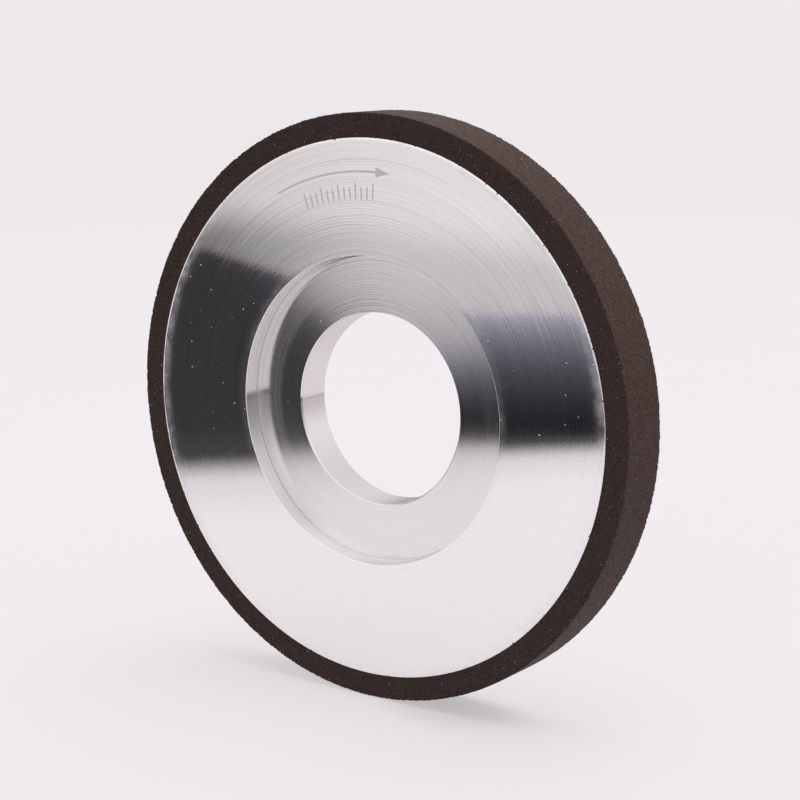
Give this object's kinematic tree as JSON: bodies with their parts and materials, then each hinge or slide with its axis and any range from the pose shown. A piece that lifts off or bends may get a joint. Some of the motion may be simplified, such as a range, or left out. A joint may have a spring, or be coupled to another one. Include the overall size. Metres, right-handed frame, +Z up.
{
  "type": "diamond grinding wheel",
  "caption": "Flat round grinding wheel: an aluminium core with a large plain bore and a counterbored front face, carrying a thin straight-sided diamond abrasive rim.",
  "frame": {"origin": "centre of the wheel, on its axis and midway between its two faces", "axes": "+Y along the wheel's axis of rotation, from the counterbored front face towards the plain back face; +Z up with the wheel standing on its rim; +X to the right seen from the front"},
  "size_m": [0.125, 0.013, 0.125],
  "materials": {
    "turned_aluminium": "fine turned, concentric marks, bright",
    "resin_bonded_diamond": "matt, fine grained, dark brown"
  },
  "bodies": {
    "root": {"aluminium_core": "turned_aluminium", "abrasive_rim": "resin_bonded_diamond"}
  },
  "joints": []
}
